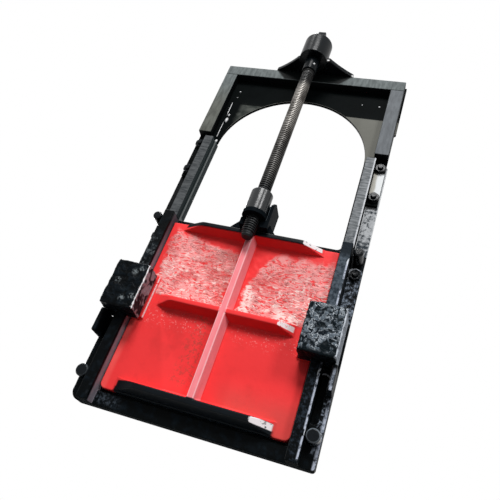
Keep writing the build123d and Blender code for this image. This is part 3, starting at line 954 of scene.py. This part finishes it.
skin("lower_frame", "casting", edge=1.6, grid=7, relief=frame_relief)
for side in SIDES:
    skin(f"{side}_rail", f"{side}_rail", edge=1.3, grid=7, relief=rail_relief)
    skin(f"{side}_wedge_block", "block", edge=3.0, segments=3, grid=3.5, relief=block_relief)
    skin(f"{side}_block_cheek", "casting", edge=1.5, grid=5, relief=cheek_relief)
    skin(f"{side}_post", "bar", edge=0.8, grid=12, relief=bar_relief)
skin("arch_plate", "arch", edge=0.8)
skin("top_beam", "bar", edge=0.8, grid=12, relief=bar_relief)
skin("stem_bracket", "gloss", edge=1.5)


# Leaf and the nut on its top edge

skin("gate_leaf", "red", edge=2.2, segments=3, grid=4, relief=leaf_relief)
skin("nut_lug", "lug", edge=1.2)
skin("nut_flange", "lug", edge=1.0)
skin("stem_nut", "nut", edge=1.0)


# Stem with a left-hand trapezoidal thread

PITCH = 6.0
THREAD_DEPTH = 2.6
THREAD_STEPS = 40
RUN_OUT_STEPS = 24
# Share of the pitch above the root, and share of the depth there
THREAD_PROFILE = ((0.34, 0), (0.46, 1), (0.88, 1))
TAIL_POINT = 4.0
TAIL_INSET = 5.5
RING_GAP = 0.5
THREAD_STOP = 5.0
SHOULDER_STOP = 3.0
HEAD_CHAMFER = 1.5

stem_centre = (stem_low + stem_high) / 2
stem_radius = (stem_high.x - stem_low.x) / 2
root_radius = stem_radius - THREAD_DEPTH
thread_bottom = stem_low.z + TAIL_POINT
thread_top = collar_low.z - THREAD_STOP
hub_top = bracket_high.z


def stem_point(bm, radius, step, height):
    """A corner on the stem; the steps turn the way that lifts the nut."""
    angle = -2 * math.pi * step / THREAD_STEPS
    place = Vector((radius * math.cos(angle), radius * math.sin(angle), 0))
    place += Vector((stem_centre.x, stem_centre.y, height))
    return bm.verts.new(place * MM)


def stem_rings(bm, outline):
    """Plain rings joined upwards; outline is (radius, height) from the bottom up."""
    rings = [[stem_point(bm, radius, i, height) for i in range(THREAD_STEPS)] for radius, height in outline]
    for low, high in zip(rings, rings[1:]):
        for i in range(THREAD_STEPS):
            j = (i + 1) % THREAD_STEPS
            bm.faces.new((low[i], low[j], high[j], high[i]))
    return rings


def thread_rows(bm, roots, last, bottom):
    """The thread's profile at each step, from its root to the root one turn higher."""
    rows = []
    for i in range(last + 1):
        fade = min(1, i / RUN_OUT_STEPS, (last - i) / RUN_OUT_STEPS)
        height = bottom + i * PITCH / THREAD_STEPS
        row = [roots[i]]
        for share, depth in THREAD_PROFILE:
            row.append(stem_point(bm, root_radius + THREAD_DEPTH * depth * fade, i, height + share * PITCH))
        row.append(roots[i + THREAD_STEPS])
        rows.append(row)
    return rows


def thread_between(bm, low, high, bottom, top):
    """A thread that runs out at both ends, joined to the plain ring below it and the one above."""
    last = (int((top - bottom) / PITCH) - 1) * THREAD_STEPS
    rise = PITCH / THREAD_STEPS
    roots = [stem_point(bm, root_radius, i, bottom + i * rise) for i in range(last + THREAD_STEPS + 1)]
    rows = thread_rows(bm, roots, last, bottom)
    for near, far in zip(rows, rows[1:]):
        for k in range(len(near) - 1):
            bm.faces.new((near[k], far[k], far[k + 1], near[k + 1]))

    # First turn to the ring below, last turn to the ring above, and the two ends of the thread
    for i in range(THREAD_STEPS - 1):
        bm.faces.new((low[i], low[i + 1], roots[i + 1], roots[i]))
        if i > 0:
            bm.faces.new((roots[last + i], roots[last + i + 1], high[i + 1], high[i]))
    bm.faces.new([low[-1], low[0], *rows[0], roots[THREAD_STEPS - 1]])
    bm.faces.new([roots[last + 1], high[1], high[0], *rows[-1][::-1]])
    bm.faces.new((roots[-2], roots[-1], high[0], high[-1]))


def add_stem():
    bm = bmesh.new()
    tail = stem_rings(bm, (
        (stem_radius - TAIL_INSET, stem_low.z),
        (root_radius, thread_bottom - RING_GAP),
    ))
    shaft = stem_rings(bm, (
        (root_radius, thread_top),
        (stem_radius, collar_low.z - SHOULDER_STOP),
        (stem_radius, hub_top - HEAD_CHAMFER),
        (stem_radius - HEAD_CHAMFER, hub_top),
    ))
    thread_between(bm, tail[-1], shaft[0], thread_bottom, thread_top - RING_GAP)
    bm.faces.new(tail[0][::-1])
    bm.faces.new(shaft[-1])
    stem = to_object(bm, "threaded_stem", "stem", "stem")
    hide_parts("stem")


# Square drive end of the stem, and the collar below the hub

SQUARE_SIDE = 22.0
SQUARE_CHAMFER = 2.0
SQUARE_SUNK = 2.0


def add_square():
    """The drive square, sunk a little into the top of the shaft."""
    bm = bmesh.new()
    square = bmesh.ops.create_cube(bm, size=1.0)
    foot = hub_top - SQUARE_SUNK
    middle = Vector((stem_centre.x, stem_centre.y, (foot + stem_high.z) / 2))
    size = Matrix.Diagonal((SQUARE_SIDE * MM, SQUARE_SIDE * MM, (stem_high.z - foot) * MM, 1))
    bmesh.ops.transform(bm, matrix=Matrix.Translation(middle * MM) @ size, verts=square["verts"])
    bevel(bm, bm.edges[:], SQUARE_CHAMFER, segments=2)
    to_object(bm, "stem_square", "collar", "stem")


add_stem()
add_square()
skin("stem_collar", "collar", edge=1.0)


# Bolts: washer, chamfered hexagon and a rounded end

BOLT_STEPS = 48
BOLT_HEAD = 9.0
WASHER_HEIGHT = 2.2
WASHER_RADIUS = 13.4
WASHER_EDGE = 0.6
CROWN_SHARE = 0.95
SHANK_SHARE = 0.29
SHANK_SUNK = 0.5
SHANK_CHAMFER = 1.5
CHAMFER_SLOPE = math.tan(math.radians(30))
HEXAGON_SECTOR = math.radians(60)


def hexagon_radius(angle, across_flats):
    """Distance from the middle to the side of a hexagon with a flat face at angle 0."""
    from_flat = (angle + HEXAGON_SECTOR / 2) % HEXAGON_SECTOR - HEXAGON_SECTOR / 2
    return across_flats / 2 / math.cos(from_flat)


def bolt(node):
    """A hexagon head with a washer and a bolt end, facing forwards from the node's seat."""
    low, high = box_mm(node)
    centre = (low + high) / 2
    across_flats = high.x - low.x
    seat = -high.y
    head = seat + BOLT_HEAD
    end = -low.y
    crown = across_flats / 2 * CROWN_SHARE
    shank = across_flats * SHANK_SHARE
    bm = bmesh.new()

    def ring(radius_at, height_at):
        points = []
        for i in range(BOLT_STEPS):
            angle = 2 * math.pi * i / BOLT_STEPS
            radius = radius_at(angle)
            across = Vector((radius * math.cos(angle), 0, radius * math.sin(angle)))
            place = Vector((centre.x, -height_at(radius), centre.z)) + across
            points.append(bm.verts.new(place * MM))
        return points

    def circle(radius, height):
        return ring(lambda angle: radius, lambda r: height)

    def hexagon(angle):
        return hexagon_radius(angle, across_flats)

    def stack(rings):
        for a, b in zip(rings, rings[1:]):
            for i in range(BOLT_STEPS):
                j = (i + 1) % BOLT_STEPS
                bm.faces.new((a[i], b[i], b[j], a[j]))
        bm.faces.new(rings[0])
        bm.faces.new(rings[-1][::-1])

    stack([
        circle(WASHER_RADIUS, seat),
        circle(WASHER_RADIUS, seat + WASHER_HEIGHT - WASHER_EDGE),
        circle(WASHER_RADIUS - WASHER_EDGE, seat + WASHER_HEIGHT),
    ])
    stack([
        ring(hexagon, lambda r: seat + WASHER_HEIGHT),
        ring(hexagon, lambda r: head - max(0.0, r - crown) * CHAMFER_SLOPE),
        circle(crown, head),
    ])
    stack([
        circle(shank, head - SHANK_SUNK),
        circle(shank, end - SHANK_CHAMFER),
        circle(shank - SHANK_CHAMFER, end),
    ])
    obj = to_object(bm, f"{node}_set", "bolt", body_of_node[node])
    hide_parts(node)


for side in SIDES:
    for place in ("upper", "lower", "middle"):
        bolt(f"{side}_{place}_bolt")
    for place in ("low", "high"):
        skin(f"{side}_{place}_stud", "bolt", edge=1.0)


# Weld drips on the arch plate's front, and the set screw in the stem collar

Drip = namedtuple("Drip", "x z radius length")
DRIPS = (
    Drip(x=-204, z=838, radius=4.6, length=18),
    Drip(x=-203.4, z=858, radius=3.4, length=10),
    Drip(x=-206, z=756, radius=3.6, length=12),
    Drip(x=-204, z=741, radius=2.8, length=9),
    Drip(x=-209.4, z=884, radius=1.3, length=52),
    Drip(x=-209.8, z=800, radius=1.2, length=60),
    Drip(x=-201, z=955, radius=2.4, length=5),
    Drip(x=201, z=955, radius=2.4, length=5),
    Drip(x=154, z=956, radius=1.8, length=4),
    Drip(x=-202, z=931, radius=1.8, length=4),
)
BEAD_FLATNESS = 0.6
SET_SCREW_OFFSET = Vector((11.5, -16.5, -6))
SET_SCREW_RADIUS = 3.6


def add_bead(bm, point, radius, length):
    """A flattened drop of that length along the front."""
    bead = bmesh.ops.create_uvsphere(bm, u_segments=16, v_segments=10, radius=1.0)
    size = Matrix.Diagonal((radius * MM, radius * BEAD_FLATNESS * MM, length / 2 * MM, 1))
    bmesh.ops.transform(bm, matrix=Matrix.Translation(point * MM) @ size, verts=bead["verts"])


def add_drips():
    bm = bmesh.new()
    for drip in DRIPS:
        add_bead(bm, Vector((drip.x, arch_front, drip.z)), drip.radius, drip.length)
    to_object(bm, "weld_drips", "weld", "frame")


def add_set_screw():
    bm = bmesh.new()
    collar_middle = Vector((stem_centre.x, stem_centre.y, (collar_low.z + collar_high.z) / 2))
    add_bead(bm, collar_middle + SET_SCREW_OFFSET, SET_SCREW_RADIUS, 2 * SET_SCREW_RADIUS)
    to_object(bm, "set_screw", "weld", "stem")


add_drips()
add_set_screw()


# Camera, light and stage, in metres

CAMERA_AT = Vector((0.3445, -1.0595, -0.1759))
CAMERA_RIGHT = Vector((0.94303, 0.1379, 0.30277))
CAMERA_DOWN = Vector((0.18401, 0.542, -0.81998))
FOCAL_PIXELS = 536.14
FRAME_PIXELS = 500
SENSOR_WIDTH = 36
MIDDLE = Vector((0, -0.04, 0.56))
LAMP_DISTANCE = 6.0
SKY_TOWARDS = Vector((0.1, -0.8, 0.6))
SKY_FROM, SKY_TO = -0.4, 0.9
SKY_DARK, SKY_LIGHT = 0.02, 0.28
FLOOR_RADIUS = 2.2
FLOOR_HEIGHT = -0.42
FLOOR_SEGMENTS = 96


def add_camera():
    data = bpy.data.cameras.new("camera")
    data.sensor_width = SENSOR_WIDTH
    data.lens = FOCAL_PIXELS / FRAME_PIXELS * SENSOR_WIDTH
    camera = bpy.data.objects.new("camera", data)
    right = CAMERA_RIGHT.normalized()
    up = -CAMERA_DOWN.normalized()
    back = right.cross(up)
    turn = Matrix((right, up, back)).transposed().to_4x4()
    camera.matrix_world = Matrix.Translation(CAMERA_AT) @ turn
    bpy.context.scene.collection.objects.link(camera)
    bpy.context.scene.camera = camera


def add_softbox(name, direction, width, height, radiance):
    """A soft area light aimed at the gate, as bright as a surface of that radiance."""
    data = bpy.data.lights.new(name, "AREA")
    data.shape = "RECTANGLE"
    data.size = width
    data.size_y = height
    data.energy = radiance * math.pi * width * height
    lamp = bpy.data.objects.new(name, data)
    lamp.location = MIDDLE + Vector(direction).normalized() * LAMP_DISTANCE
    lamp.rotation_euler = (MIDDLE - lamp.location).to_track_quat("-Z", "Y").to_euler()
    bpy.context.scene.collection.objects.link(lamp)


def add_sun(name, direction, strength, spread):
    """A sun that shines from that direction, its disc spread over some degrees."""
    data = bpy.data.lights.new(name, "SUN")
    data.energy = strength
    data.angle = math.radians(spread)
    lamp = bpy.data.objects.new(name, data)
    lamp.rotation_euler = Vector(direction).to_track_quat("Z", "Y").to_euler()
    bpy.context.scene.collection.objects.link(lamp)


def add_world():
    """White to the camera and in reflections; a dim sky from the front and above for the rest."""
    world = bpy.data.worlds.new("world")
    bpy.context.scene.world = world
    world.use_nodes = True
    tree = world.node_tree

    # Rays that see plain white
    rays = add_node(tree, "LightPath")
    seen = rays["Is Camera Ray"]
    for ray in ("Is Glossy Ray", "Is Transmission Ray"):
        seen = add_node(tree, "Math", {0: seen, 1: rays[ray]}, operation="MAXIMUM")[0]

    # Sky that lights the gate
    direction = {0: add_node(tree, "TexCoord")["Generated"], 1: SKY_TOWARDS.normalized()}
    sky = add_node(tree, "MapRange", {
        "Value": add_node(tree, "VectorMath", direction, operation="DOT_PRODUCT")["Value"],
        "From Min": SKY_FROM,
        "From Max": SKY_TO,
        "To Min": SKY_DARK,
        "To Max": SKY_LIGHT,
    })["Result"]
    strength = add_node(tree, "Mix", {"Factor": seen, "A": sky, "B": 1.0})["Result"]
    background = tree.nodes["Background"]
    feed(tree, (1, 1, 1), background.inputs["Color"])
    feed(tree, strength, background.inputs["Strength"])


def add_floor():
    """A plain pale floor below the gate."""
    bm = bmesh.new()
    bmesh.ops.create_circle(bm, cap_ends=True, segments=FLOOR_SEGMENTS, radius=FLOOR_RADIUS)
    bmesh.ops.translate(bm, verts=bm.verts[:], vec=(0, 0, FLOOR_HEIGHT))
    mesh = bpy.data.meshes.new("floor")
    bm.to_mesh(mesh)
    bm.free()
    floor = bpy.data.objects.new("floor", mesh)
    s = Surface("floor", specular=0.2)
    s.roughness(0.8)
    s.colour(s.mix(s.noise(400, detail=3), (0.8, 0.8, 0.8), (0.84, 0.84, 0.84)))
    mesh.materials.append(s.material)
    bpy.context.scene.collection.objects.link(floor)
    floor.visible_diffuse = False


add_camera()
add_world()
add_floor()
add_softbox("sky_light", direction=(0.0, -0.72, 0.69), width=2.1, height=1.75, radiance=29)
add_softbox("side_light", direction=(0.56, -0.68, 0.47), width=1.15, height=1.4, radiance=25)
add_softbox("back_light", direction=(-0.45, 0.8, 0.4), width=2.0, height=2.0, radiance=15)
add_sun("low_sun", direction=(-0.41, -0.2, 0.89), strength=1.6, spread=3)
bpy.context.scene.view_settings.view_transform = "Standard"
